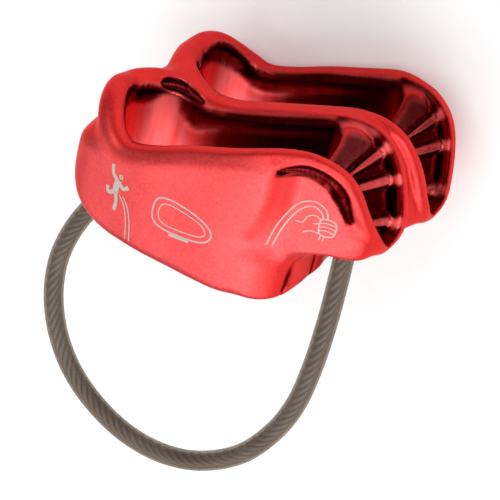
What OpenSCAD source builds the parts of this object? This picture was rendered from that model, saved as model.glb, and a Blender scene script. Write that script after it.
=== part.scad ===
// Two-slot rope descender: forged body, sheathed wire keeper loop and its crimped ends.
// Millimetres. It lies on its rear side face: +X towards the ribbed nose, +Y towards the rims
// where the rope goes in, -Y towards the keeper loop, +Z up through the front side face.

/* [Body] */
// Width of the body across both rope slots
body_w = 46; // [44:0.5:48]
// Thickness of the web between the rope slots
web_t = 5.4; // [4.6:0.2:6]
// Thickness of the walls around the rope slots
wall_t = 4; // [3.4:0.2:4.4]
// Radius on the long lower edges
edge_r = 2; // [1:0.5:4]

/* [Ribbed nose] */
// Depth of the braking channel below the rim
channel_depth = 2.8; // [2:0.2:3.2]
// Height of each friction rib
rib_h = 1.2; // [0.6:0.2:1.4]

/* [Keeper loop] */
// Outer diameter of the clear sheath
sheath_d = 3.3; // [3:0.1:3.6]
// Diameter of each outer strand of the wire rope
strand_d = 0.74; // [0.6:0.02:0.76]
// Length along the rope in which a strand goes round once
lay_length = 10; // [8:1:14]
// Outer diameter of the crimp ferrules
ferrule_d = 4.4; // [4.2:0.1:4.4]
// Length of each crimp ferrule
ferrule_l = 6; // [4:0.5:7]

/* [Hidden] */
$fn = 48;

mid_z = body_w / 2;
half_w = body_w / 2;
tall = 60;
red = [0.8, 0.08, 0.09];
steel = [0.62, 0.62, 0.6];
smoke = [0.36, 0.31, 0.27];

// Side outline of the body, seen along the width, anticlockwise from the bottom left
side_bottom = [[-9, -19.8], [-1, -19.9], [7, -19.9], [11.2, -19.7], [13.4, -18.9], [14.4, -17.2]];
side_under_nose = [[14.4, -15], [15, -12.6], [16.6, -10.8], [19, -10], [21.6, -9.9], [23.8, -9.3]];
side_nose = [[24.8, -7.6], [24.3, -5.2], [23.2, -2.2], [21.9, 0.7], [20.1, 3.1], [17.8, 4.8]];
side_rim = [[14.6, 5.3], [12.2, 5.2], [9, 4.4], [4, 2.6], [-2, 0.1], [-8, -2.4], [-12, -4.1], [-15, -4.7]];
side_back = [[-17.4, -4], [-19.4, -2.2], [-21.4, -0.9], [-23.2, -1.9], [-23.2, -4.6], [-24.1, -7.4],
             [-25.2, -10.4], [-24.5, -14], [-21, -17.4], [-15.6, -19.2]];
side_points = concat(side_bottom, side_under_nose, side_nose, side_rim, side_back);

// Half of the plan outline (distance along the body, distance from the mid plane)
plan_back = [[-21.2, 0], [-22.6, 4], [-24.6, 9], [-25.2, 13], [-23.9, 17], [-20.6, 20.4],
             [-15.4, half_w - 0.8]];
plan_side = [[-9, half_w], [-3, half_w], [3, half_w], [7, half_w - 0.7]];
plan_front = [[11, half_w - 2.6], [15, half_w - 4.2], [19, half_w - 6], [22, 15], [24.2, 12],
              [25.2, 8.4], [24.9, 4], [24.2, 0]];
plan_points = concat(plan_back, plan_side, plan_front);

// Half of the plan outline below the nose, where the lobes end short of it
belly_front = [[8.6, half_w - 0.8], [11, half_w - 2.6], [13, half_w - 5], [14.4, 15.4], [14.2, 11],
               [13.7, 7.6], [13.4, 4], [13, 0]];
belly_points = concat(plan_back, plan_side, belly_front);

// One rope slot in plan
slot_in = web_t / 2;
slot_out = half_w - wall_t;
slot_points = [[-19.7, 10.9], [-19.1, 7.7], [-17.4, 5.1], [-14.8, 3.3], [-11.4, slot_in], [-2, slot_in],
               [8, slot_in], [11.2, slot_in + 0.6], [11.7, 6], [11.7, 12], [11.2, slot_out - 2.6],
               [6, slot_out - 0.5], [-2, slot_out], [-11.4, slot_out], [-14.8, slot_out - 0.7],
               [-17.4, slot_out - 2.5], [-19.1, slot_out - 5]];
// The braking channel that runs from the slot over the nose, in plan
channel_points = [[8, slot_in], [14, slot_in + 0.4], [20, 3.8], [23.8, 5], [25.6, 5.6], [25.6, 9],
                  [23.4, 11], [20, 13.6], [14, slot_out - 2.6], [8, slot_out - 1]];

// Keeper route in the mid plane, from the left pivot round to the right pivot
pivot_y = -16.5;
route = [[-18, pivot_y], [-21.8, -21.2], [-25.6, -26.2], [-28.9, -31.4], [-31.2, -37], [-32.3, -43],
         [-31.7, -49.4], [-29.3, -55.6], [-25.2, -60.8], [-19.4, -64.6], [-12.6, -66.7], [-5.6, -66.6],
         [1.2, -64.2], [7.6, -59.2], [12, -52.4], [14.4, -45.6], [15.4, -38], [15.7, -30],
         [15.6, -22.5], [15.4, pivot_y]];
// Where the keeper flexes at each end, and the direction from there up into the body
left_pivot = route[0];
right_pivot = route[len(route) - 1];
left_dir = [0.63, 0.78];
right_dir = [0, 1];
// Distance from the pivot to the mouth of each socket
left_mouth = 1.6;
right_mouth = 6.6;
// Gap between the fixed cable end and the loop, which lets the loop turn
pivot_gap = 0.9;
// Length of the cable end inside its socket
end_l = ferrule_l + 1;
// Clearance of the parts in a socket
fit = 0.02;
// Length and radius of the flare at each socket's mouth
flare_l = 6;
flare_r = 4.4;

core_d = 0.9;
// Distance from the cable's axis to the axis of each outer strand
strand_ring_r = 0.88;

// ---------- curves ----------
function unit(v) = v / norm(v);
// Direction of a line of points at point i
function heading(line, i) = unit(line[min(i + 1, len(line) - 1)] - line[max(i - 1, 0)]);

// Point at fraction t between p1 and p2 of a smooth curve through p0 to p3
function smooth_point(p0, p1, p2, p3, t) =
    0.5 * (2 * p1 + (p2 - p0) * t + (2 * p0 - 5 * p1 + 4 * p2 - p3) * t * t
           + (3 * p1 - p0 - 3 * p2 + p3) * t * t * t);

// Smooth closed outline through the points, with steps pieces between each two
function closed_curve(points, steps) =
    let (n = len(points))
    [for (i = [0:n - 1]) for (k = [0:steps - 1])
        smooth_point(points[(i + n - 1) % n], points[i], points[(i + 1) % n], points[(i + 2) % n], k / steps)];

// Smooth open line through the points; its ends run straight on
function open_curve(points, steps) =
    let (n = len(points), before = 2 * points[0] - points[1], after = 2 * points[n - 1] - points[n - 2])
    concat([for (i = [0:n - 2]) for (k = [0:steps - 1])
        smooth_point(i == 0 ? before : points[i - 1], points[i], points[i + 1],
                     i == n - 2 ? after : points[i + 2], k / steps)], [points[n - 1]]);

// Full outline from a half outline that starts and ends on the mid plane
function both_halves(half) =
    concat(half, [for (i = [len(half) - 2:-1:1]) [half[i][0], -half[i][1]]]);

// ---------- solids ----------
// Prism through the whole width over an outline seen from the side
module across(points) {
    translate([0, 0, -tall / 2]) linear_extrude(2 * tall) polygon(points);
}

// Prism along Y over an outline in plan, measured from the mid plane
module upright(points) {
    translate([0, tall / 2, mid_z]) rotate([90, 0, 0]) linear_extrude(2 * tall) polygon(points);
}

side_curve = closed_curve(side_points, 4);
plan_curve = closed_curve(both_halves(plan_points), 4);
belly_curve = closed_curve(both_halves(belly_points), 4);
slot_curve = closed_curve(slot_points, 3);

// Everything in front of the lobes' ends and below the nose
belly_zone = [[-40, -30], [40, -30], [40, -11.6], [15.8, -11.6], [10, -8], [-40, -8]];

// Prism along X over the body's cross-section, with rounded lower edges
bottom_y = -20;
module rounded_section() {
    translate([-tall, bottom_y, 0]) rotate([90, 0, 90]) linear_extrude(2 * tall) {
        translate([edge_r, 0]) square([tall, body_w]);
        translate([0, edge_r]) square([tall, body_w - 2 * edge_r]);
        for (z = [edge_r, body_w - edge_r]) translate([edge_r, z]) circle(edge_r);
    }
}

// Line along the rim from above the slot's end over the nose, and its outward direction at point i
nose_line = [[8, 4.2], [12, 5.2], [15.6, 5.2], [18.8, 4.1], [21.8, 0.9], [24.1, -5.4], [24.9, -9]];
function outward(i) = let (h = heading(nose_line, i)) [-h[1], h[0]];

// Channel floor: level steps below the rim, with a friction rib at each point from first_rib to last_rib
first_rib = 3;
last_rib = 5;
rib_w = 1;
floor_line = [for (i = [0:len(nose_line) - 1])
    let (valley = nose_line[i] - channel_depth * outward(i))
    each i < first_rib || i > last_rib ? [valley]
        : [valley, valley + rib_h * outward(i) + rib_w / 2 * heading(nose_line, i),
           valley + rib_w * heading(nose_line, i)]];
// Everything outside the floor
channel_zone = concat(floor_line, [[tall, floor_line[len(floor_line) - 1][1]], [tall, tall], [8, tall]]);

module channel(side) {
    intersection() {
        upright([for (p = channel_points) [p[0], side * p[1]]]);
        across(channel_zone);
    }
}

// Tube from start to end along an end of the keeper, measured upwards from its pivot
module along_end(pivot, dir, start, end, r_start, r_end) {
    translate([pivot[0], pivot[1], mid_z]) rotate([0, 0, atan2(dir[1], dir[0])]) rotate([0, 90, 0])
        translate([0, 0, start]) cylinder(r1 = r_start, r2 = r_end, h = end - start);
}

// Blind socket for a ferrule and the cable end, with a flare that lets the keeper flex
module socket(pivot, dir, mouth) {
    along_end(pivot, dir, mouth - 0.5, mouth + ferrule_l, ferrule_d / 2 + fit, ferrule_d / 2 + fit);
    along_end(pivot, dir, mouth, mouth + end_l + fit, sheath_d / 2 + fit, sheath_d / 2 + fit);
    along_end(pivot, dir, mouth - flare_l, mouth, flare_r, ferrule_d / 2 + fit);
}

module body() {
    color(red) difference() {
        intersection() {
            across(side_curve);
            upright(plan_curve);
            rounded_section();
        }
        difference() {
            across(belly_zone);
            upright(belly_curve);
        }
        for (side = [-1, 1]) {
            upright([for (p = slot_curve) [p[0], side * p[1]]]);
            channel(side);
        }
        socket(left_pivot, left_dir, left_mouth);
        socket(right_pivot, right_dir, right_mouth);
    }
}

// Crimp sleeve pressed into a socket around the cable end
module ferrule(pivot, dir, mouth) {
    color(steel) difference() {
        along_end(pivot, dir, mouth, mouth + ferrule_l, ferrule_d / 2, ferrule_d / 2);
        along_end(pivot, dir, mouth - 1, mouth + ferrule_l + 1, sheath_d / 2 + fit, sheath_d / 2 + fit);
    }
}

// End of the keeper cable that stays fixed in the body
module cable_end(pivot, dir, mouth) {
    color(smoke) along_end(pivot, dir, pivot_gap, mouth + end_l, sheath_d / 2, sheath_d / 2);
}

// ---------- keeper loop ----------
route_curve = open_curve(route, 3);
route_rings = len(route_curve);

// Closed tube of the given radius along a line of 3-D points that never runs straight up
module tube(line, radius, sides) {
    n = len(line);
    rings = [for (i = [0:n - 1])
        let (along = heading(line, i), a = unit([0, 0, 1] - along[2] * along), b = cross(along, a))
        for (k = [0:sides - 1]) line[i] + radius * (cos(360 * k / sides) * a + sin(360 * k / sides) * b)];
    walls = [for (i = [0:n - 2]) for (k = [0:sides - 1])
        let (a = i * sides + k, b = i * sides + (k + 1) % sides)
        each [[a, a + sides, b + sides], [a, b + sides, b]]];
    start_cap = [for (k = [0:sides - 1]) k];
    end_cap = [for (k = [sides - 1:-1:0]) (n - 1) * sides + k];
    polyhedron(rings, concat([start_cap], walls, [end_cap]), convexity = 8);
}

function raise(p) = [p[0], p[1], mid_z];
centre_line = [for (p = route_curve) raise(p)];

sheath_sides = 8;
// Radius of the hole through the sheath
bore_r = strand_ring_r + strand_d / 2 + 0.08;
// Line that starts and ends a little beyond the route, for cutting right through its ends
longer_line = concat([centre_line[0] - 0.4 * heading(centre_line, 0)],
                     [for (i = [1:route_rings - 2]) centre_line[i]],
                     [centre_line[route_rings - 1] + 0.4 * heading(centre_line, route_rings - 1)]);

module keeper_sheath() {
    color(smoke) difference() {
        tube(centre_line, sheath_d / 2, sheath_sides);
        tube(longer_line, bore_r, sheath_sides);
    }
}

module core_strand() {
    color(steel) tube(centre_line, core_d / 2, 6);
}

// Distance along the route up to each of its points
function run_length(line, i) = i == 0 ? 0 : run_length(line, i - 1) + norm(line[i] - line[i - 1]);

// Finer route for the strands, which go round it
strand_steps = 5;
strand_route = [for (p = open_curve(route, strand_steps)) raise(p)];
strand_runs = [for (i = [0:len(strand_route) - 1]) run_length(strand_route, i)];

// Direction from the route to strand number k at point i
function strand_dir(k, i) =
    let (turn = 360 * strand_runs[i] / lay_length + 60 * k, n = cross([0, 0, 1], heading(strand_route, i)))
    cos(turn) * n + sin(turn) * [0, 0, 1];

module outer_strand(k) {
    line = [for (i = [0:len(strand_route) - 1]) strand_route[i] + strand_ring_r * strand_dir(k, i)];
    color(steel) tube(line, strand_d / 2, 6);
}

body();
ferrule(left_pivot, left_dir, left_mouth);  // ferrule_left
ferrule(right_pivot, right_dir, right_mouth);  // ferrule_right
cable_end(left_pivot, left_dir, left_mouth);  // cable_end_left
cable_end(right_pivot, right_dir, right_mouth);  // cable_end_right
keeper_sheath();
core_strand();
outer_strand(0);  // outer_strand_1
outer_strand(1);  // outer_strand_2
outer_strand(2);  // outer_strand_3
outer_strand(3);  // outer_strand_4
outer_strand(4);  // outer_strand_5
outer_strand(5);  // outer_strand_6
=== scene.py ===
"""Looks of a two-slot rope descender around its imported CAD.

Forged and anodised body, sheathed wire keeper, etched signs.
"""
import math

import bpy
import numpy as np
from mathutils import Matrix, Vector
from mathutils.bvhtree import BVHTree


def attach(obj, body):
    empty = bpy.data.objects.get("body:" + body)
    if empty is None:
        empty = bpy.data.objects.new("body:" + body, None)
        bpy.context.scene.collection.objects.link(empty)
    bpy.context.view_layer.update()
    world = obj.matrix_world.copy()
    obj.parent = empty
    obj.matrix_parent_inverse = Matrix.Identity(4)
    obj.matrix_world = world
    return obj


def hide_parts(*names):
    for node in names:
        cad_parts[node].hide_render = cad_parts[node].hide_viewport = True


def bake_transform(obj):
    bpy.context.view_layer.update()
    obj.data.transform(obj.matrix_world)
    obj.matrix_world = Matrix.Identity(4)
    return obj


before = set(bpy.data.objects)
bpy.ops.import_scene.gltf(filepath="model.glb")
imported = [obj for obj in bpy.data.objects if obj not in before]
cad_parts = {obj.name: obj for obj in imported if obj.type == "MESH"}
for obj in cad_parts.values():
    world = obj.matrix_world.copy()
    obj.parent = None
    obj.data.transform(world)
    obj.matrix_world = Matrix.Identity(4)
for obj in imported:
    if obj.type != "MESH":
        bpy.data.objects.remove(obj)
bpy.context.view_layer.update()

MM = 0.001
MID_Z = 23.0
FAR = 1e9

# ---------- outlines, in millimetres ----------
# Side outline of the body without its rim beads: its top runs along the middle of the beads
SIDE = [(-9, -19.8), (-1, -19.9), (7, -19.85), (11.6, -19.75), (13.8, -19.1), (14.8, -17.5),
        (14.8, -15.2), (15.1, -12.8), (16.5, -10.8), (19, -9.9), (21.6, -9.9), (23.2, -9.2),
        (23.2, -7.2), (22.2, -3.9), (21.4, -1.9), (20.3, 0.5), (18.9, 2.3), (17.1, 3.4), (15, 4),
        (12.7, 4), (8, 2.3), (2.4, -0.2), (-6, -3.4), (-12, -6), (-15, -6.7), (-17.6, -5.6),
        (-19.8, -3.4), (-21.8, -2.2), (-22.2, -4), (-23.3, -6.2), (-24.7, -8.8), (-25.1, -11.4),
        (-24, -14.6), (-20.6, -17.6), (-15.4, -19.3)]
# Half of the plan outline: distance along the body, distance from the mid plane
PLAN_BACK = [(-21.2, 0), (-22.4, 4), (-24.4, 8.4), (-25, 12.4), (-23.9, 16.8), (-20.8, 20.2),
             (-15.6, 22.2)]
PLAN_SIDE = [(-9, 23), (-2, 23), (4, 23)]
PLAN_NOSE = [(7.6, 22.4), (10.4, 20.4), (12.7, 18.7), (15, 17.7), (18.9, 16), (21.4, 14.4),
             (23.4, 12.4), (24.6, 9.6), (24.9, 6.8), (24.6, 3.6), (24, 0)]
PLAN_BELLY = [(7.6, 22.6), (10.6, 21), (12.8, 18.7), (14.3, 16.3), (14.9, 15.2), (14.9, 13.8),
              (14.7, 11), (14.3, 9), (14.1, 8), (14.2, 7), (14, 4.5), (13.6, 2.5), (13.2, 0)]
# Plan outline just below the rims, at the plain end
PLAN_NECK = [(-20.6, 0), (-21.6, 4), (-22.8, 8), (-22.9, 12), (-21.6, 16), (-18.8, 19.6), (-15.4, 21.8),
             (-11.6, 22.9)]
# One rope slot in plan: a half circle at its plain end
SLOT_W, SLOT_R, SLOT_END = 10.85, 8.15, -11.6
SLOT_ARC = [(SLOT_END - SLOT_R * np.sin(a), SLOT_W - SLOT_R * np.cos(a)) for a in np.linspace(np.pi, 0, 9)]
SLOT = SLOT_ARC + [(-2, 2.7), (8, 2.7), (10.7, 3.4), (11.7, 5.6), (11.7, 10.5), (11.5, 14.6),
                   (10.2, 17.2), (6, 18.6), (-2, 19)]
# Middle of the bead round one slot: along the body, up, distance from the mid plane, radius
BEAD = [(-9, -5.1, 20.8, 2), (-3, -2.3, 20.8, 2), (3, 0.1, 20.8, 2), (7.4, 2.2, 20.4, 1.8),
        (10, 3.3, 19.4, 1.6), (12.7, 4.0, 18.1, 1.35), (15, 4.0, 17.3, 1.3), (17.1, 3.4, 16.4, 1.3),
        (18.9, 2.3, 15.6, 1.3), (20.3, 0.5, 14.8, 1.3), (21.4, -1.9, 13.9, 1.3),
        (22.2, -3.9, 12.9, 1.3), (22.9, -5.9, 11.7, 1.3), (23.3, -7.6, 10.2, 1.3),
        (23.3, -8.8, 8.2, 1.3), (23.3, -8.8, 6.4, 1.3), (23.5, -8, 4.8, 1.3), (23.5, -6.6, 3.8, 1.3),
        (23.0, -4.8, 3.2, 1.3), (22.2, -2.6, 2.9, 1.3), (21.2, -0.5, 2.5, 1.3), (19.8, 1.5, 2.1, 1.3),
        (18.2, 3.0, 1.8, 1.3), (16.2, 3.9, 1.5, 1.3), (14, 4.1, 1.35, 1.35), (11, 3.5, 1.1, 1.6),
        (8, 2.3, 0.9, 1.8), (2.4, -0.1, 0.7, 2), (-6, -3.4, 0.7, 2), (-10.5, -4.7, 0.7, 1.8),
        (-13.2, -4.4, 0.8, 1.6), (-15.4, -3.4, 1.0, 1.5), (-17.4, -2.4, 1.8, 1.5),
        (-19.3, -2.2, 3.6, 1.7), (-20.9, -2.4, 6.2, 2), (-21.8, -2.3, 9.2, 2), (-21.5, -1.8, 12.4, 2),
        (-20.5, -2.4, 15.2, 2), (-18.9, -3.9, 17.6, 2), (-16.7, -5.5, 19.5, 2), (-13.7, -6.5, 20.4, 2)]
# Creases on the ends of the belly below the nose, on one side of the mid plane
CREASES = [
    [(13, -19.2, 16.2, 0.1), (14.2, -17.4, 16.3, 0.3), (14.4, -15.4, 16.4, 0.35),
     (14.9, -13.2, 16.4, 0.3), (15.8, -11.4, 16.4, 0.1)],
    [(13.7, -19.2, 8, 0.15), (14.3, -17.4, 8, 0.4), (14.4, -14.4, 8, 0.4), (14.8, -12.6, 8.2, 0.35),
     (15.6, -11.2, 8.4, 0.1)],
]
# Fullness of the web under the rims at the plain end, on one side of the mid plane
WEB_TOP = [(-8, -5.4, 0.8, 1.6), (-12, -5.8, 1.2, 2.0), (-14.6, -5.3, 2.0, 2.4),
           (-16.6, -4.8, 3.0, 2.6), (-18.4, -4.7, 5.0, 2.4), (-19.6, -4.8, 7.4, 2.0)]
# Groove beside the bead on the web at the plain end
WEB_GROOVE = [(-19.6, -2.5, 5.6, 0.3), (-18.2, -2.1, 4.4, 0.8), (-16.4, -2.0, 3.3, 0.95),
              (-14.6, -2.6, 2.6, 0.8), (-12.6, -3.4, 2.2, 0.3)]
# Beads that join the two rims at the plain end
SADDLES = [
    [(-21.4, -2.9, -7.4, 1.6), (-20.9, -3.4, -3.6, 1.6), (-20.5, -4.1, 0, 1.6),
     (-20.9, -3.4, 3.6, 1.6), (-21.4, -2.9, 7.4, 1.6)],
    [(-10, -4.9, 0, 1.9), (-13, -4.7, 0, 1.8), (-15.4, -3.8, 0, 1.6), (-17.4, -3.1, 0, 1.6),
     (-19, -3.2, 0, 1.7), (-20.5, -4.1, 0, 1.6)],
    [(-13, -6.4, 0, 2.4), (-17, -5.4, 0, 2.4), (-19.4, -5.6, 0, 2.2)],
]


def smooth_curve(points, closed, steps):
    """Catmull-Rom curve through the points."""
    p = np.array(points, float)
    if closed:
        p = np.vstack([p[-1], p, p[0], p[1]])
    else:
        p = np.vstack([2 * p[0] - p[1], p, 2 * p[-1] - p[-2]])
    t = np.linspace(0, 1, steps, endpoint=False)[:, None]
    out = []
    for p0, p1, p2, p3 in zip(p[:-3], p[1:-2], p[2:-1], p[3:]):
        out.append(0.5 * (2 * p1 + (p2 - p0) * t + (2 * p0 - 5 * p1 + 4 * p2 - p3) * t ** 2
                          + (3 * p1 - p0 - 3 * p2 + p3) * t ** 3))
    if not closed:
        out.append(p[-2][None])
    return np.vstack(out)


def both_halves(half):
    """Closed outline from its half on one side of the mid plane."""
    return half + [(a, -b) for a, b in half[-2:0:-1]]


def outline_distance(outline, u, v):
    """Signed distance from points (u, v) to a closed outline, negative inside."""
    best = np.full(u.shape, FAR)
    inside = np.zeros(u.shape, bool)
    for (au, av), (bu, bv) in zip(outline, np.roll(outline, -1, axis=0)):
        du, dv = bu - au, bv - av
        t = np.clip(((u - au) * du + (v - av) * dv) / (du * du + dv * dv), 0, 1)
        best = np.minimum(best, (u - au - t * du) ** 2 + (v - av - t * dv) ** 2)
        crosses = (av > v) != (bv > v)
        inside ^= crosses & (u < au + (v - av) * du / (dv if dv else 1))
    return np.sqrt(best) * np.where(inside, -1, 1)


def smooth_max(a, b, k):
    """Larger of two fields, rounded over a width k where they meet."""
    return np.maximum(a, b) + np.maximum(k - np.abs(a - b), 0) ** 2 / (4 * k)


def smooth_min(a, b, k):
    """Smaller of two fields, rounded over a width k where they meet."""
    return -smooth_max(-a, -b, k)


def smooth_step(low, high, value):
    """Smooth change from 0 at low to 1 at high."""
    t = np.clip((value - low) / (high - low), 0, 1)
    return t * t * (3 - 2 * t)


def tube_distance(axes, line, closed, reach=4.0):
    """Distance to a tube along a line of points with radii, right up to reach away from it."""
    x, y, z = axes
    field = np.full((len(x), len(y), len(z)), reach)
    for a, b in zip(line if closed else line[:-1], np.roll(line, -1, axis=0)):
        low = np.minimum(a, b)[:3] - max(a[3], b[3]) - reach
        high = np.maximum(a, b)[:3] + max(a[3], b[3]) + reach
        cut = tuple(slice(*np.searchsorted(axis, (lo, hi))) for axis, lo, hi in zip(axes, low, high))
        px = x[cut[0]][:, None, None] - a[0]
        py = y[cut[1]][None, :, None] - a[1]
        pz = z[cut[2]][None, None, :] - a[2]
        d = b - a
        t = np.clip((px * d[0] + py * d[1] + pz * d[2]) / (d[:3] @ d[:3]), 0, 1)
        middle = np.sqrt((px - t * d[0]) ** 2 + (py - t * d[1]) ** 2 + (pz - t * d[2]) ** 2)
        field[cut] = np.minimum(field[cut], middle - a[3] - t * d[3])
    return field


def cone_distance(x, y, z, start, direction, r_start, r_end, length):
    """Approximate distance to a cone frustum from start along direction."""
    dx, dy = direction
    along = (x - start[0]) * dx + (y - start[1]) * dy
    across = np.sqrt(((x - start[0]) * dy - (y - start[1]) * dx) ** 2 + z ** 2)
    radius = r_start + (r_end - r_start) * np.clip(along / length, 0, 1)
    return np.maximum(across - radius, np.maximum(-along, along - length))


# ---------- channel over the nose ----------
NOSE_STEPS = 6
# Line of the beads' middles over the nose in the side view
NOSE_LINE = [(6, 1.5), (9, 2.9), (12.7, 4.0), (15, 4.0), (17.1, 3.4), (18.9, 2.3), (20.3, 0.5),
             (21.4, -1.9), (22.2, -3.9), (23, -6.3), (23.4, -9), (23.4, -12)]
# Height of the channel's floor above that line: distance along the line from x = 11, height
FLOOR = [(-5, 1.0), (0, 1.0), (3.4, 0.9), (5.2, 0.3), (6.3, -0.8), (7.2, 0.45), (8.0, 0.45), (9, -1.15),
         (10.6, -1.15), (11.6, 0.45), (12.4, 0.45), (13.4, -1.3), (16.6, -1.3), (17.6, 0.45),
         (18.4, 0.4), (19.4, -1.3), (24, -1.3)]
# Fall of the floor from the walls towards the middle of the channel
V_SLOPE = 0.7


def side_coords(x, y):
    """Distance along the nose line and height above it, for points in the side view."""
    line = smooth_curve(NOSE_LINE, False, NOSE_STEPS)
    best = np.full(np.broadcast(x, y).shape, FAR)
    run = np.zeros_like(best)
    height = np.zeros_like(best)
    total = 0.0
    for a, b in zip(line[:-1], line[1:]):
        d = b - a
        length = np.hypot(*d)
        t = np.clip(((x - a[0]) * d[0] + (y - a[1]) * d[1]) / length ** 2, 0, 1)
        ex, ey = x - a[0] - t * d[0], y - a[1] - t * d[1]
        dist = ex ** 2 + ey ** 2
        closer = dist < best
        best = np.where(closer, dist, best)
        run = np.where(closer, total + t * length, run)
        height = np.where(closer, np.sign(d[0] * ey - d[1] * ex) * np.sqrt(dist), height)
        total += length
    return run, height


def shifted(flat, where, x):
    """Values of a field over (x, z) looked up at other distances along the body, for each height."""
    last = len(x) - 1.001
    g = np.clip((where - x[0]) / (x[1] - x[0]), 0, last)
    i = np.floor(g).astype(int)
    t = (g - i)[:, :, None]
    return flat[i] * (1 - t) + flat[i + 1] * t


# Groove beside the bead over the nose: its reach along the body and from the mid plane, its distance
# from the bead's middle (down, out), its radius, and how it thins out at its ends
NOSE_GROOVE_X, NOSE_GROOVE_W = (9.8, 21.9), (11.5, 25)
NOSE_GROOVE_OFFSET, NOSE_GROOVE_R = (1.3, 1.4), 1.1
GROOVE_END, GROOVE_REST, GROOVE_FADE = 0.35, 0.65, (0, 0.3)


def groove_beside(axes, bead):
    """Distance to the groove beside part of the bead, on both halves of the body."""
    heading = np.gradient(bead[:, :2], axis=0)
    heading /= np.linalg.norm(heading, axis=1)[:, None]
    down = np.column_stack([heading[:, 1], -heading[:, 0]])
    down *= np.where(down[:, 1:] > 0, -1, 1)
    x, w = bead[:, 0], bead[:, 2]
    keep = np.flatnonzero((x > NOSE_GROOVE_X[0]) & (x < NOSE_GROOVE_X[1])
                          & (w > NOSE_GROOVE_W[0]) & (w < NOSE_GROOVE_W[1]))
    line = np.column_stack([bead[keep, :2] + NOSE_GROOVE_OFFSET[0] * down[keep],
                            w[keep] + NOSE_GROOVE_OFFSET[1], np.full(len(keep), NOSE_GROOVE_R)])
    t = np.linspace(0, 1, len(line))
    line[:, 3] *= GROOVE_END + GROOVE_REST * smooth_step(*GROOVE_FADE, t) * smooth_step(*GROOVE_FADE, 1 - t)
    groove = tube_distance(axes, line, False)
    return np.minimum(groove, groove[:, :, ::-1])


# ---------- field of the whole body ----------
GRID = 0.35
# Sampled box: along the body, up, and to either side of the mid plane
BOX_X, BOX_Y, BOX_W = (-27, 27), (-22, 7.5), 25
# Steps from one given point to the next: on outlines and lines, and on the bead and the web's top
CURVE_STEPS, BEAD_STEPS = 5, 4
# The flat side faces end further back towards the bottom: where that sets in and stops along the body,
# its slope, the height where it is nil, its limits, and the belly's share of it
LEAN_IN, LEAN_OUT = (-6, 4), (8, 15)
LEAN_SLOPE, LEAN_Y, LEAN_LIMITS, BELLY_LEAN = 0.38, -9, (-3.6, 2.4), 0.3
# Heights where the plan outline turns into the belly's, and into the neck's
BELLY_FADE, NECK_FADE = (-9.5, -14), (-9, -4)
# Rounding of the body's edges, how much less it is at the nose, and where it changes; the same for
# the foot of the beads
EDGE_ROUND, EDGE_LESS, EDGE_FADE = 2.0, 1.3, (8, 12)
BEAD_ROUND, BEAD_LESS, BEAD_FADE = 1.2, 0.7, (8, 13)
# Lobes under the nose: middle of one, and its half sizes
LOBE, LOBE_SIZE = (20.6, -6.9, 7.6), (4.1, 3.3, 6)
# Beads that bound the channel: ahead of this, split at this distance from the mid plane, and the share
# of a bead's radius by which the channel keeps off its middle
CHANNEL_FRONT, CHANNEL_SPLIT, BEAD_SHARE = 6, 7, 0.8
# Where the ribs are counted from in the side view, and the channel's back end
RIB_ORIGIN, CHANNEL_BACK = (11.0, 2.9), 9.5
# Rounding where two parts of the field meet
LOBE_ROUND, WEB_ROUND, CHANNEL_ROUND, SLOT_ROUND, CUT_ROUND = 2.5, 1.5, 0.5, 2.0, 0.8
PAIR_ROUND, SADDLE_ROUND, GROOVE_ROUND, CREASE_ROUND, SOCKET_ROUND = 1.2, 2.0, 0.3, 0.15, 0.5
# Sockets of the cable: pivot, direction inwards, distance from the pivot to the foot of the flare
SOCKETS = [((-18, -16.5), (0.63, 0.78), 1.6), ((15.4, -16.5), (0, 1), 6.6)]
# Their hole: radius, length, and overlap with the flare; the flare's radius at its wide end, and length
SOCKET_R, SOCKET_L, SOCKET_LEAD = 2.22, 6.5, 0.5
FLARE_R, FLARE_L = 4.4, 6
# Highlight painted on the ribs' crests: height of the floor, run past the first pocket, place along and
# across
CREST_FADE, POCKET_FADE, TOOTH_X, TOOTH_ACROSS = (-0.2, 0.42), (5.6, 6.6), (10.5, 12), (-0.5, 0.9)
BEFORE_POCKET, PAST_POCKET, ACROSS_LESS = 0.3, 0.7, 0.6
# Painted shade in the undercuts: fades at the groove, at the creases, and under the beads along the slot
GROOVE_DARK, CREASE_DARK, CREASE_SHARE, CREASE_EDGE = (0.5, 0.1), (0.25, 0.05), 0.75, 0.15
UNDER_BEAD, UNDER_X, UNDER_SLOT = (1.2, 0.5), (4, 9), (0.45, 0.15)


def mirrored_tube(axes, line, steps):
    """Distance to a tube along a smooth line and to its mirror image across the mid plane."""
    field = tube_distance(axes, smooth_curve(line, False, steps), False)
    return np.minimum(field, field[:, :, ::-1])


def plan_outlines(x, z, X, Y):
    """Distance to the plan outline that holds at each height."""
    lean = smooth_step(*LEAN_IN, X) * (1 - smooth_step(*LEAN_OUT, X))
    lean = lean * np.clip(LEAN_SLOPE * (Y - LEAN_Y), *LEAN_LIMITS)
    plans = {}
    for name, half, share in (("nose", PLAN_BACK + PLAN_SIDE + PLAN_NOSE, 1),
                              ("belly", PLAN_BACK + PLAN_SIDE + PLAN_BELLY, BELLY_LEAN),
                              ("neck", PLAN_NECK + PLAN_SIDE + PLAN_NOSE, 1)):
        outline = smooth_curve(both_halves(half), True, CURVE_STEPS)
        flat = outline_distance(outline, *np.broadcast_arrays(x[:, None], z[None, :]))
        plans[name] = shifted(flat, (X - lean * share)[:, :, 0], x)
    low = smooth_step(*BELLY_FADE, Y)
    high = smooth_step(*NECK_FADE, Y)
    return plans["nose"] * (1 - low - high) + plans["belly"] * low + plans["neck"] * high


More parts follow.
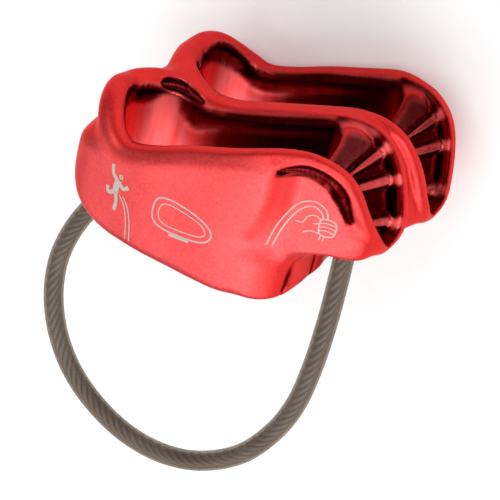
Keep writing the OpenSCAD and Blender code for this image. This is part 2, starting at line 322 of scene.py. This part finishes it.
def channel_walls(bead, run):
    """Distances from the mid plane to the channel's inner and outer wall, at each run along the nose."""
    front = bead[:, 0] > CHANNEL_FRONT
    near = bead[:, 2] < CHANNEL_SPLIT
    walls = []
    for part, inwards in ((bead[front & near], 1), (bead[front & ~near], -1)):
        part_run, _ = side_coords(part[:, 0], part[:, 1])
        order = np.argsort(part_run)
        wall = part[:, 2] + inwards * BEAD_SHARE * part[:, 3]
        walls.append(np.interp(run, part_run[order], wall[order]))
    return walls


def build(step):
    """Sampled fields: body, what is removed from it, painted highlight on the rib crests, painted shade in
    the undercuts, beads.
    """
    x = np.arange(*BOX_X, step)
    y = np.arange(*BOX_Y, step)
    n = int(np.ceil(BOX_W / step))
    z = np.arange(-n, n + 1) * step
    X, Y, Z = x[:, None, None], y[None, :, None], z[None, None, :]
    W = np.abs(Z)
    axes = (x, y, z)
    side_view = np.broadcast_arrays(x[:, None], y[None, :])
    side = outline_distance(smooth_curve(SIDE, True, CURVE_STEPS), *side_view)[:, :, None]
    solid = smooth_max(side, plan_outlines(x, z, X, Y), EDGE_ROUND - EDGE_LESS * smooth_step(*EDGE_FADE, X))
    lobe = np.sqrt(((X - LOBE[0]) / LOBE_SIZE[0]) ** 2 + ((Y - LOBE[1]) / LOBE_SIZE[1]) ** 2
                   + ((W - LOBE[2]) / LOBE_SIZE[2]) ** 2)
    solid = smooth_min(solid, (lobe - 1) * LOBE_SIZE[1], LOBE_ROUND)

    slot_plan = np.broadcast_arrays(x[:, None], np.abs(z)[None, :])
    slot = outline_distance(smooth_curve(SLOT, True, CURVE_STEPS), *slot_plan)[:, None, :]
    run, height = side_coords(x[:, None], y[None, :])
    bead = smooth_curve(BEAD, True, BEAD_STEPS)
    # middle and half width of the channel at each distance along the nose line
    w_in, w_out = channel_walls(bead, run)
    mid, half = ((w_in + w_out) / 2)[:, :, None], ((w_out - w_in) / 2)[:, :, None]
    start = side_coords(*np.array(RIB_ORIGIN)[:, None])[0][0]
    floor = np.interp(run - start, *np.array(FLOOR).T)
    dip = V_SLOPE * np.maximum(half - np.abs(W - mid), 0)
    above_floor = floor[:, :, None] - dip - height[:, :, None]
    channel = smooth_max(above_floor, np.abs(W - mid) - half, CHANNEL_ROUND)
    channel = np.maximum(channel, CHANNEL_BACK - X)
    solid = smooth_min(solid, mirrored_tube(axes, WEB_TOP, BEAD_STEPS), WEB_ROUND)
    solid = smooth_max(solid, smooth_max(-slot, -channel, SLOT_ROUND), CUT_ROUND)

    beads = tube_distance(axes, bead, True)
    beads = smooth_min(beads, beads[:, :, ::-1], PAIR_ROUND)
    for line in SADDLES:
        saddle = tube_distance(axes, smooth_curve(line, False, CURVE_STEPS), False)
        beads = smooth_min(beads, saddle, SADDLE_ROUND)
    solid = smooth_min(solid, beads, BEAD_ROUND - BEAD_LESS * smooth_step(*BEAD_FADE, X))

    groove = np.minimum(groove_beside(axes, bead), mirrored_tube(axes, WEB_GROOVE, CURVE_STEPS))
    crease = np.inf
    for line in CREASES:
        crease = np.minimum(crease, mirrored_tube(axes, line, CURVE_STEPS))
    solid = smooth_max(solid, -groove, GROOVE_ROUND)
    solid = smooth_max(solid, -crease, CREASE_ROUND)

    for pivot, direction, mouth in SOCKETS:
        way = np.array(direction)
        middle = np.array(pivot) + mouth * way
        hole = cone_distance(X, Y, Z, middle - SOCKET_LEAD * way, direction, SOCKET_R, SOCKET_R, SOCKET_L)
        flare = cone_distance(X, Y, Z, middle - FLARE_L * way, direction, FLARE_R, SOCKET_R, FLARE_L)
        solid = smooth_max(solid, -np.minimum(hole, flare), SOCKET_ROUND)

    removed = np.minimum(np.minimum(slot, channel), np.minimum(groove, crease + CREASE_EDGE))
    # Painted highlight on the rib crests, fuller past the first pocket and towards the nose, weaker towards
    # the outer wall
    crest = smooth_step(*CREST_FADE, floor)[:, :, None]
    pocket = (BEFORE_POCKET + PAST_POCKET * smooth_step(*POCKET_FADE, run - start))[:, :, None]
    across = 1 - ACROSS_LESS * smooth_step(*TOOTH_ACROSS, (W - mid) / half)
    painted_crest_highlight = crest * pocket * smooth_step(*TOOTH_X, X) * across
    # Painted shade in the grooves and creases, and under the beads along the slots away from the nose
    under = np.maximum(smooth_step(*GROOVE_DARK, groove), CREASE_SHARE * smooth_step(*CREASE_DARK, crease))
    under_bead = smooth_step(*UNDER_BEAD, beads) * (1 - smooth_step(*UNDER_X, X))
    under_bead = under_bead * smooth_step(*UNDER_SLOT, slot)
    return axes, solid, removed, painted_crest_highlight, np.maximum(under, under_bead), beads


def surface(axes, field):
    """Quads over the zero level of a sampled field, one vertex per crossed cell."""
    x, y, z = axes
    inside = field < 0
    corners = [inside[i:i - 1 or None, j:j - 1 or None, k:k - 1 or None]
               for i in (0, 1) for j in (0, 1) for k in (0, 1)]
    count = np.sum(corners, axis=0)
    mixed = (count > 0) & (count < 8)
    index = np.full(mixed.shape, -1)
    cells = np.argwhere(mixed)
    index[mixed] = np.arange(len(cells))
    total = np.zeros((len(cells), 3))
    number = np.zeros(len(cells))

    def corner(i, j, k):
        return field[cells[:, 0] + i, cells[:, 1] + j, cells[:, 2] + k]

    for a in range(3):
        for s in (0, 1):
            for t in (0, 1):
                lo = [s, t]
                lo.insert(a, 0)
                hi = list(lo)
                hi[a] = 1
                f0, f1 = corner(*lo), corner(*hi)
                crossed = (f0 < 0) != (f1 < 0)
                frac = np.where(crossed, f0 / np.where(crossed, f0 - f1, 1), 0)
                point = np.repeat(np.array([lo], float), len(cells), axis=0)
                point[:, a] = frac
                total += point * crossed[:, None]
                number += crossed
    grid = cells + total / number[:, None]
    step = x[1] - x[0]
    verts = grid * step + np.array([x[0], y[0], z[0]])
    quads = []
    for a in range(3):
        b, c = [(1, 2), (2, 0), (0, 1)][a]
        f0 = [slice(None)] * 3
        f1 = [slice(None)] * 3
        f0[a], f1[a] = slice(0, -1), slice(1, None)
        for d in (b, c):
            f0[d] = f1[d] = slice(1, -1)
        i0, i1 = inside[tuple(f0)], inside[tuple(f1)]
        for flip, where in ((False, i0 & ~i1), (True, ~i0 & i1)):
            e = np.argwhere(where)
            base = e.copy()
            base[:, b] += 1
            base[:, c] += 1
            ring = []
            for db, dc in ((0, 0), (-1, 0), (-1, -1), (0, -1)):
                q = base.copy()
                q[:, b] += db
                q[:, c] += dc
                ring.append(index[q[:, 0], q[:, 1], q[:, 2]])
            if flip:
                ring = ring[::-1]
            quads.append(np.stack(ring, axis=1))
    return verts, np.vstack(quads)


def sample(axes, field, points):
    """Value and gradient of the field at points, by trilinear interpolation."""
    x, y, z = axes
    step = x[1] - x[0]
    g = (points - np.array([x[0], y[0], z[0]])) / step
    i = np.clip(np.floor(g).astype(int), 0, np.array(field.shape) - 2)
    f = g - i
    value = 0
    grad = np.zeros_like(points)
    for a in (0, 1):
        for b in (0, 1):
            for c in (0, 1):
                v = field[i[:, 0] + a, i[:, 1] + b, i[:, 2] + c]
                wx = f[:, 0] if a else 1 - f[:, 0]
                wy = f[:, 1] if b else 1 - f[:, 1]
                wz = f[:, 2] if c else 1 - f[:, 2]
                value = value + v * wx * wy * wz
                grad[:, 0] += v * wy * wz * (1 if a else -1)
                grad[:, 1] += v * wx * wz * (1 if b else -1)
                grad[:, 2] += v * wx * wy * (1 if c else -1)
    return value, grad / step


# Settling: rounds, share of the way to the neighbours' middle, least square of the field's slope that
# is divided by, and the largest value of the field that is made up for in one round
ROUNDS, EVEN_SHARE, LEAST_SQUARE, LARGEST_VALUE = 4, 0.5, 0.2, 0.3


def settle(axes, field, verts, quads):
    """Evens out the vertices along the surface and puts them back on its zero level."""
    n = len(verts)
    a = np.concatenate([quads[:, i] for i in range(4)])
    b = np.concatenate([quads[:, (i + 1) % 4] for i in range(4)])
    for _ in range(ROUNDS):
        total = np.zeros((n, 3))
        count = np.zeros(n)
        for u, v in ((a, b), (b, a)):
            for d in range(3):
                total[:, d] += np.bincount(u, verts[v, d], n)
            count += np.bincount(u, minlength=n)
        verts = verts + EVEN_SHARE * (total / count[:, None] - verts)
        value, grad = sample(axes, field, verts)
        size = np.maximum((grad ** 2).sum(axis=1), LEAST_SQUARE)
        value = np.clip(value, -LARGEST_VALUE, LARGEST_VALUE)
        verts = verts - (value / size)[:, None] * grad
    return verts


# ---------- meshes ----------
def add_mesh(name, verts, faces, material):
    """New smooth mesh object from points in millimetres."""
    mesh = bpy.data.meshes.new(name)
    verts = np.asarray(verts, np.float32) * MM
    faces = np.asarray(faces, np.int32)
    sides = faces.shape[1]
    mesh.vertices.add(len(verts))
    mesh.vertices.foreach_set("co", verts.ravel())
    mesh.loops.add(faces.size)
    mesh.loops.foreach_set("vertex_index", faces.ravel())
    mesh.polygons.add(len(faces))
    mesh.polygons.foreach_set("loop_start", np.arange(0, faces.size, sides, dtype=np.int32))
    mesh.update(calc_edges=True)
    mesh.polygons.foreach_set("use_smooth", np.full(len(faces), True))
    mesh.materials.append(material)
    obj = bpy.data.objects.new(name, mesh)
    bpy.context.scene.collection.objects.link(obj)
    return obj


def add_attribute(obj, name, values):
    """One number per vertex, for the material to read."""
    attribute = obj.data.attributes.new(name, "FLOAT", "POINT")
    attribute.data.foreach_set("value", np.asarray(values, np.float32))


def ring_tube(line, radius, sides):
    """Capped tube along a line of points that stays near the mid plane: vertices and quads."""
    line = np.asarray(line, float)
    along = np.gradient(line, axis=0)
    along /= np.linalg.norm(along, axis=1)[:, None]
    a = np.array([0, 0, 1.0]) - along * along[:, 2:3]
    a /= np.linalg.norm(a, axis=1)[:, None]
    b = np.cross(along, a)
    t = np.arange(sides) * 2 * math.pi / sides
    ring = np.cos(t)[None, :, None] * a[:, None] + np.sin(t)[None, :, None] * b[:, None]
    verts = (line[:, None] + radius * ring).reshape(-1, 3)
    i = np.arange(len(line) - 1)[:, None] * sides
    k = np.arange(sides)[None, :]
    following = (k + 1) % sides
    quads = np.stack([i + k, i + k + sides, i + following + sides, i + following], axis=-1).reshape(-1, 4)
    ends = []
    for row, point, turn in ((0, line[0], 1), (len(line) - 1, line[-1], -1)):
        middle = len(verts)
        verts = np.vstack([verts, point])
        for s in range(0, sides, 2):
            ids = [row * sides + (s + j) % sides for j in range(3)]
            ends.append([middle] + ids[::turn])
    return verts, np.vstack([quads, ends])


# ---------- materials ----------
class Nodes:
    """Small helper that adds nodes to a material and links them."""

    def __init__(self, name):
        self.material = bpy.data.materials.new(name)
        self.material.use_nodes = True
        self.tree = self.material.node_tree
        self.tree.nodes.clear()
        self.out = self.tree.nodes.new("ShaderNodeOutputMaterial")

    def add(self, kind, inputs=(), **settings):
        node = self.tree.nodes.new(kind)
        for key, value in settings.items():
            setattr(node, key, value)
        for key, value in dict(inputs).items():
            if isinstance(value, bpy.types.NodeSocket):
                self.tree.links.new(value, node.inputs[key])
            else:
                node.inputs[key].default_value = value
        return node

    def attribute(self, name):
        return self.add("ShaderNodeAttribute", attribute_name=name).outputs["Fac"]

    def noise(self, scale, detail=2.0, roughness=0.5, stretch=(1, 1, 1)):
        coordinates = self.add("ShaderNodeTexCoord").outputs["Object"]
        place = self.add("ShaderNodeMapping", {"Vector": coordinates, "Scale": stretch})
        node = self.add("ShaderNodeTexNoise", {
            "Vector": place.outputs[0], "Scale": scale, "Detail": detail, "Roughness": roughness})
        return node.outputs["Fac"]

    def ramp(self, value, low, high, to_low=0.0, to_high=1.0):
        node = self.add("ShaderNodeMapRange", {
            "Value": value, "From Min": low, "From Max": high, "To Min": to_low, "To Max": to_high})
        return node.outputs[0]

    def mix(self, factor, a, b):
        node = self.add("ShaderNodeMix", data_type="RGBA")
        for socket, value in ((node.inputs[0], factor), (node.inputs[6], a), (node.inputs[7], b)):
            if isinstance(value, bpy.types.NodeSocket):
                self.tree.links.new(value, socket)
            else:
                socket.default_value = value
        return node.outputs[2]

    def math(self, kind, a, b=0.0):
        return self.add("ShaderNodeMath", {0: a, 1: b}, operation=kind).outputs[0]

    def bump(self, height, strength, distance):
        node = self.add("ShaderNodeBump", {"Height": height, "Strength": strength, "Distance": distance})
        return node.outputs[0]

    def finish(self, shader):
        self.tree.links.new(shader, self.out.inputs["Surface"])
        return self.material


def anodised_red():
    n = Nodes("anodised_red")
    inner = n.attribute("inner")
    shade = n.attribute("shade")
    painted_side_light = n.attribute("painted_side_light")
    grain = n.noise(2600, 3.0, 0.6)
    cloud = n.noise(120, 3.0, 0.55)
    draw = n.noise(900, 2.0, 0.5, stretch=(1, 0.12, 1))
    # Deeper red for the ends, edges and beads and paler grainy red for the side faces: painted shade and
    # painted light, mixed by how a face is turned
    deep = n.mix(n.ramp(cloud, 0.35, 0.65), (0.58, 0.01, 0.01, 1), (0.66, 0.017, 0.016, 1))
    deep = n.mix(n.ramp(grain, 0.35, 0.7, 0.0, 0.4), deep, (0.8, 0.045, 0.045, 1))
    pale = n.mix(n.ramp(cloud, 0.35, 0.65), (0.66, 0.05, 0.052, 1), (0.74, 0.066, 0.068, 1))
    pale = n.mix(n.ramp(grain, 0.35, 0.7, 0.0, 0.5), pale, (0.86, 0.13, 0.13, 1))
    satin = n.mix(painted_side_light, deep, pale)
    # Cut faces: a bright red painted as light and a near black painted as shade, mixed by the painted shade
    lit = n.mix(n.ramp(draw, 0.3, 0.7), (0.95, 0.08, 0.08, 1), (1.0, 0.15, 0.15, 1))
    dark = n.mix(n.ramp(draw, 0.3, 0.7), (0.05, 0.0004, 0.0006, 1), (0.09, 0.001, 0.0015, 1))
    slot = n.mix(shade, lit, dark)
    colour = n.mix(inner, satin, slot)
    gloss = n.math("MULTIPLY", inner, n.ramp(shade, 0, 1, 0.1, 1))
    rough = n.math("ADD", n.ramp(gloss, 0, 1, 0.4, 0.22), n.ramp(grain, 0.3, 0.7, -0.03, 0.04))
    normal = n.bump(grain, n.ramp(inner, 0, 1, 0.22, 0.07), 0.00006)
    shader = n.add("ShaderNodeBsdfPrincipled", {
        "Base Color": colour, "Metallic": n.ramp(inner, 0, 1, 0.9, 1.0), "Roughness": rough,
        "Normal": normal,
        "Specular Tint": (1.0, 0.35, 0.35, 1), "Coat Weight": n.ramp(inner, 0, 1, 0.2, 0.0),
        "Coat Roughness": 0.32, "Coat IOR": 1.45})
    return n.finish(shader.outputs[0])


def etched_silver():
    n = Nodes("etched_silver")
    grain = n.noise(3000, 2.0)
    colour = n.mix(grain, (0.36, 0.32, 0.28, 1), (0.5, 0.46, 0.41, 1))
    shader = n.add("ShaderNodeBsdfPrincipled", {
        "Base Color": colour, "Metallic": 0.25, "Roughness": 0.6, "Normal": n.bump(grain, 0.3, 0.00004)})
    return n.finish(shader.outputs[0])


def wire_steel():
    n = Nodes("wire_steel")
    grain = n.noise(2400, 2.0)
    colour = n.mix(grain, (0.3, 0.26, 0.225, 1), (0.52, 0.47, 0.42, 1))
    shader = n.add("ShaderNodeBsdfPrincipled", {
        "Base Color": colour, "Metallic": 0.85, "Roughness": n.ramp(grain, 0.3, 0.7, 0.3, 0.42),
        "Normal": n.bump(grain, 0.2, 0.00003)})
    return n.finish(shader.outputs[0])


def smoked_sheath():
    n = Nodes("smoked_sheath")
    grain = n.noise(1500, 3.0)
    patch = n.noise(160, 2.0)
    colour = n.mix(n.ramp(patch, 0.35, 0.65), (0.085, 0.065, 0.05, 1), (0.12, 0.096, 0.077, 1))
    normal = n.bump(grain, 0.12, 0.00005)
    skin = n.add("ShaderNodeBsdfPrincipled", {
        "Base Color": colour, "Roughness": n.ramp(grain, 0.3, 0.7, 0.3, 0.4), "IOR": 1.5,
        "Normal": normal})
    clear = n.add("ShaderNodeBsdfTransparent", {"Color": (0.74, 0.66, 0.58, 1)})
    shader = n.add("ShaderNodeMixShader", {0: 0.52, 1: skin.outputs[0], 2: clear.outputs[0]})
    return n.finish(shader.outputs[0])


def crimped_steel():
    n = Nodes("crimped_steel")
    grain = n.noise(1800, 3.0)
    lines = n.noise(600, 2.0, 0.5, stretch=(1, 8, 1))
    colour = n.mix(grain, (0.5, 0.5, 0.48, 1), (0.66, 0.65, 0.63, 1))
    shader = n.add("ShaderNodeBsdfPrincipled", {
        "Base Color": colour, "Metallic": 1.0, "Roughness": n.ramp(lines, 0.3, 0.7, 0.28, 0.42),
        "Normal": n.bump(lines, 0.15, 0.00004)})
    return n.finish(shader.outputs[0])


def pale_floor():
    n = Nodes("pale_floor")
    grain = n.noise(400, 3.0)
    colour = n.mix(grain, (0.88, 0.88, 0.88, 1), (0.91, 0.91, 0.91, 1))
    shader = n.add("ShaderNodeBsdfPrincipled", {
        "Base Color": colour, "Roughness": 0.9, "Specular IOR Level": 0.1})
    return n.finish(shader.outputs[0])


red, silver, steel = anodised_red(), etched_silver(), wire_steel()
sheath_skin, crimp = smoked_sheath(), crimped_steel()

# ---------- body ----------
# inner marks what was cut away, shade the painted shade on it, and the third attribute a paler grainy
# colour painted as light on the side faces
INNER_FADE, RIM_FADE, SIDE_LIGHT_FADE = (0.5, 0.12), (0.6, 0.1), (0.55, 0.88)
# The slots darken from the plain end towards the nose with painted shade, less so on the ribs' crests where
# highlight is painted, and the beads lose part of the paler colour painted as light on the side faces
SHADE_X, TOOTH_LIGHT, RIM_LESS = (-17.5, -7), 0.75, 0.4

axes, solid, removed, painted_crest_highlight, under, beads = build(GRID)
verts, quads = surface(axes, solid)
verts = settle(axes, solid, verts, quads)
inner = smooth_step(*INNER_FADE, sample(axes, removed, verts)[0])
# Painted shade darkens the slots towards the nose, a painted highlight lightens the rib crests, and painted
# shade fills the undercuts
lit = TOOTH_LIGHT * np.clip(sample(axes, painted_crest_highlight, verts)[0], 0, 1)
shade = smooth_step(*SHADE_X, verts[:, 0]) * (1 - lit)
shade = np.maximum(shade, np.clip(sample(axes, under, verts)[0], 0, 1))
skin = verts + np.array([0, 0, MID_Z])
body = add_mesh("forged_body", skin, quads, red)
add_attribute(body, "inner", inner)
add_attribute(body, "shade", shade)
# Paler grainy colour painted as light on the faces turned to either side of the mid plane, less on the
# beads
facing = np.abs([vertex.normal.z for vertex in body.data.vertices])
rim = smooth_step(*RIM_FADE, sample(axes, beads, verts)[0])
add_attribute(body, "painted_side_light", smooth_step(*SIDE_LIGHT_FADE, facing) * (1 - RIM_LESS * rim))
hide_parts("body")
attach(body, "root")

# ---------- keeper ----------
# Cable from inside the left socket, round the loop, into the right socket
ROUTE = [(-13.4, -10.8), (-15.6, -13.5), (-18, -16.5), (-21.8, -21.2), (-25.6, -26.2), (-28.9, -31.4),
         (-31.2, -37), (-32.3, -43), (-31.7, -49.4), (-29.3, -55.6), (-25.2, -60.8), (-19.4, -64.6),
         (-12.6, -66.7), (-5.6, -66.6), (1.2, -64.2), (7.6, -59.2), (12, -52.4), (14.4, -45.6),
         (15.4, -38), (15.7, -30), (15.6, -22.5), (15.4, -16.5), (15.4, -9.8), (15.4, -3.4)]
ROUTE_STEPS, ROUTE_SPACING = 24, 0.45
LAY, STRANDS = 10.0, 6
SHEATH_R, STRAND_RING, STRAND_R, CORE_R = 1.65, 0.92, 0.38, 0.45
SHEATH_SIDES, WIRE_SIDES = 32, 10


def resample(line, spacing):
    """Evenly spaced points along a line, and their distances along it."""
    length = np.concatenate([[0], np.cumsum(np.linalg.norm(np.diff(line, axis=0), axis=1))])
    runs = np.linspace(0, length[-1], int(length[-1] / spacing))
    return np.stack([np.interp(runs, length, line[:, d]) for d in range(line.shape[1])], axis=1), runs


centre, runs = resample(smooth_curve(ROUTE, False, ROUTE_STEPS), ROUTE_SPACING)
centre = np.column_stack([centre, np.full(len(centre), MID_Z)])
along = np.gradient(centre, axis=0)
along /= np.linalg.norm(along, axis=1)[:, None]
side_way = np.cross([0, 0, 1], along)


def keeper_piece(name, line, radius, sides, material, nodes):
    """Tube along the cable that stands in for CAD nodes."""
    obj = add_mesh(name, *ring_tube(line, radius, sides), material)
    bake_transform(obj)
    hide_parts(*nodes)


keeper_piece("cable_sheath", centre, SHEATH_R, SHEATH_SIDES, sheath_skin,
             ["keeper_sheath", "cable_end_left", "cable_end_right"])
keeper_piece("wire_core", centre, CORE_R, WIRE_SIDES, steel, ["core_strand"])
for k in range(STRANDS):
    turn = 2 * math.pi * (runs / LAY + k / STRANDS)
    around = np.cos(turn)[:, None] * side_way + np.sin(turn)[:, None] * np.array([0, 0, 1.0])
    keeper_piece(f"wire_strand_{k + 1}", centre + STRAND_RING * around, STRAND_R, WIRE_SIDES, steel,
                 [f"outer_strand_{k + 1}"])

for name in ("ferrule_left", "ferrule_right"):
    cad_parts[name].data.materials.clear()
    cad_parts[name].data.materials.append(crimp)

# ---------- etched signs on the front face ----------
skin_tree = BVHTree.FromPolygons([tuple(v) for v in skin], [tuple(int(i) for i in q) for q in quads])
# Height of the signs above the skin, height the rays start from, and spacing along a line
ETCH, RAY_Z, SIGN_SPACING = 0.02, 60, 0.22
SIGN_STEPS, BAND_CUTS = 8, 2


def on_skin(points):
    """Points of the plane dropped onto the front of the body."""
    out = []
    for px, py in points:
        hit, normal, _, _ = skin_tree.ray_cast(Vector((px, py, RAY_Z)), Vector((0, 0, -1)))
        out.append(hit + ETCH * normal)
    return np.array([tuple(p) for p in out])


def stroke(points, width, closed=False):
    """Ribbon of constant width along a smooth line."""
    line = smooth_curve(points, closed, SIGN_STEPS)
    if closed:
        line = np.vstack([line, line[:1]])
    line, _ = resample(line, SIGN_SPACING)
    way = np.gradient(line, axis=0)
    if closed:
        way[0] = way[-1] = way[0] + way[-1]
    way /= np.linalg.norm(way, axis=1)[:, None]
    across = np.column_stack([-way[:, 1], way[:, 0]]) * width / 2
    return band(line + across, line - across)


def band(left, right):
    """Flat strip between two lines of points."""
    rows = BAND_CUTS + 1
    grid = np.stack([left + (right - left) * t for t in np.linspace(0, 1, rows)], axis=1)
    n = len(left)
    i = np.arange(n - 1)[:, None] * rows + np.arange(BAND_CUTS)[None, :]
    return grid.reshape(-1, 2), np.stack([i, i + 1, i + rows + 1, i + rows], axis=-1).reshape(-1, 4)


def sign(name, shapes, origin):
    """One sign on the body, from ribbons round its origin."""
    verts, faces, count = [], [], 0
    for points, quads in shapes:
        verts.append(on_skin(points + np.array(origin)))
        faces.append(quads + count)
        count += len(points)
    obj = add_mesh(name, np.vstack(verts), np.vstack(faces), silver)
    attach(obj, "root")


# Widths of the strokes
LINE, TORSO, ARM, LEG = 0.24, 1.1, 0.6, 0.62
# A climber on a rope that runs down from the waist
sign("sign_climber", [
    stroke([(0.6, 2.6), (0.9, 2.9), (0.6, 3.2), (0.3, 2.9)], LINE, True),
    stroke([(0.3, 2.2), (0.1, 1.2), (0.1, 0.2)], TORSO),
    stroke([(0.2, 2.0), (-0.9, 2.9), (-1.2, 4.2)], ARM),
    stroke([(0.4, 1.9), (1.4, 1.3), (2.2, 1.9)], ARM),
    stroke([(0, 0.2), (-1.1, -0.4), (-1.5, 0.5)], LEG),
    stroke([(0.2, 0.1), (0.6, -1.3), (0.5, -2.7)], LEG),
    stroke([(0.9, 0.1), (2.2, -1.4), (3, -3.6), (3.5, -6.2)], LINE * 0.8),
    stroke([(1.6, 0.1), (2.8, -1.3), (3.7, -3.6), (4.2, -6.2)], LINE * 0.8),
], (-13.1, -12.1))
# A closed ring with a gate, as a connector is drawn
sign("sign_connector", [
    stroke([(-5, 0), (-4.4, 1.9), (-2, 2.5), (2.6, 1.9), (4.8, 0.7), (4.8, -0.9), (2.6, -2), (-2, -2.5),
            (-4.4, -1.9)], LINE, True),
    stroke([(-4, 0), (-3.5, 1.3), (-1.8, 1.7), (2.4, 1.2), (3.9, 0.4), (3.9, -0.5), (2.4, -1.2),
            (-1.8, -1.7), (-3.5, -1.3)], LINE * 0.7, True),
    stroke([(-1.6, -2.9), (0.2, -2.7), (1.8, -2.5)], LINE * 1.6),
], (-1.2, -11.2))
# A hand that holds the rope below an arc of it
sign("sign_hand", [
    stroke([(-5.1, -6), (-4.2, -2), (-2.6, 1.5), (-0.6, 2.6), (1.2, 1.8), (1.9, 0.2)], LINE * 0.75),
    stroke([(-4.4, -6), (-3.5, -2.2), (-2.1, 0.8), (-0.5, 1.8), (0.7, 1.2), (1.3, 0.2)], LINE * 0.75),
    stroke([(1, 0.1), (2, 0.3), (2.9, 0), (3.2, -0.9), (3, -2.1), (2.1, -2.4), (1.2, -2.2), (0.9, -1.1)],
           LINE * 0.8, True),
    stroke([(1, -0.5), (2, -0.3), (3, -0.5)], LINE * 0.65),
    stroke([(1, -1.1), (2, -0.9), (3.1, -1.1)], LINE * 0.65),
    stroke([(1, -1.7), (2, -1.5), (3, -1.7)], LINE * 0.65),
    stroke([(0.9, 0), (0.1, 0.5), (-0.9, 0), (-1.3, -1), (-2.3, -1.1)], LINE * 0.65),
    stroke([(0.9, -0.6), (0.1, -0.9)], LINE * 0.65),
    stroke([(1, -2.2), (0, -2.1), (-1, -2.6)], LINE * 0.65),
    stroke([(1.4, -2.4), (1.3, -3.2)], LINE * 0.65),
    stroke([(1.9, -2.5), (1.8, -3.3)], LINE * 0.65),
], (16.2, -4.2))

# ---------- floor, light and camera ----------
# The floor lies just below the lowest point of the visible body, in metres
FLOOR_Z, FLOOR_SIZE = -0.00014, 6
bpy.ops.mesh.primitive_plane_add(size=FLOOR_SIZE, location=(0, 0, FLOOR_Z))
floor = bpy.context.object
floor.name = "floor"
floor.data.materials.append(pale_floor())

TARGET = Vector((0, -0.02, 0.023))


def area_light(name, direction, distance, size, energy):
    """White square light that faces the target from a distance along a direction."""
    data = bpy.data.lights.new(name, "AREA")
    data.shape = "RECTANGLE"
    data.size = size
    data.size_y = size
    data.energy = energy
    obj = bpy.data.objects.new(name, data)
    way = Vector(direction).normalized()
    obj.location = TARGET + distance * way
    obj.rotation_mode = "QUATERNION"
    obj.rotation_quaternion = (-way).to_track_quat("-Z", "Y")
    bpy.context.scene.collection.objects.link(obj)


area_light("key", (0.16, -0.43, 0.88), 0.7, 0.9, 4.5)
area_light("rim", (-0.2, 0.7, 0.85), 0.8, 0.7, 2.2)
area_light("side", (0.8, 0.5, 0.7), 0.8, 0.5, 2.2)
area_light("low", (0.72, -0.5, 0.42), 0.7, 0.5, 1.3)
area_light("fill", (-0.8, -0.5, 0.5), 0.9, 0.6, 1.2)

WORLD_STRENGTH = 0.32
bpy.context.scene.view_settings.view_transform = "Standard"
world = bpy.data.worlds.new("studio")
bpy.context.scene.world = world
world.use_nodes = True
world.node_tree.nodes["Background"].inputs[0].default_value = (1, 1, 1, 1)
world.node_tree.nodes["Background"].inputs[1].default_value = WORLD_STRENGTH

# Camera axes: right and up in the picture, and back towards the camera
right = Vector((0.8345, 0.2196, -0.5055)).normalized()
up = Vector((-0.425, 0.843, -0.330))
up = (up - right * up.dot(right)).normalized()
back = right.cross(up)
# Place of the camera from (0, 0, MID_Z) along those axes, in millimetres
TO_RIGHT, UPWARDS, AWAY = -5.22, -20.6, 373
# Sensor and lens in millimetres, near clip in metres
SENSOR, LENS, CLIP = 36, 180, 0.01
place = MM * (TO_RIGHT * right + UPWARDS * up + AWAY * back + Vector((0, 0, MID_Z)))
camera_data = bpy.data.cameras.new("camera")
camera_data.sensor_width = SENSOR
camera_data.lens = LENS
camera_data.clip_start = CLIP
camera = bpy.data.objects.new("camera", camera_data)
camera.matrix_world = Matrix.Translation(place) @ Matrix((right, up, back)).transposed().to_4x4()
bpy.context.scene.collection.objects.link(camera)
bpy.context.scene.camera = camera
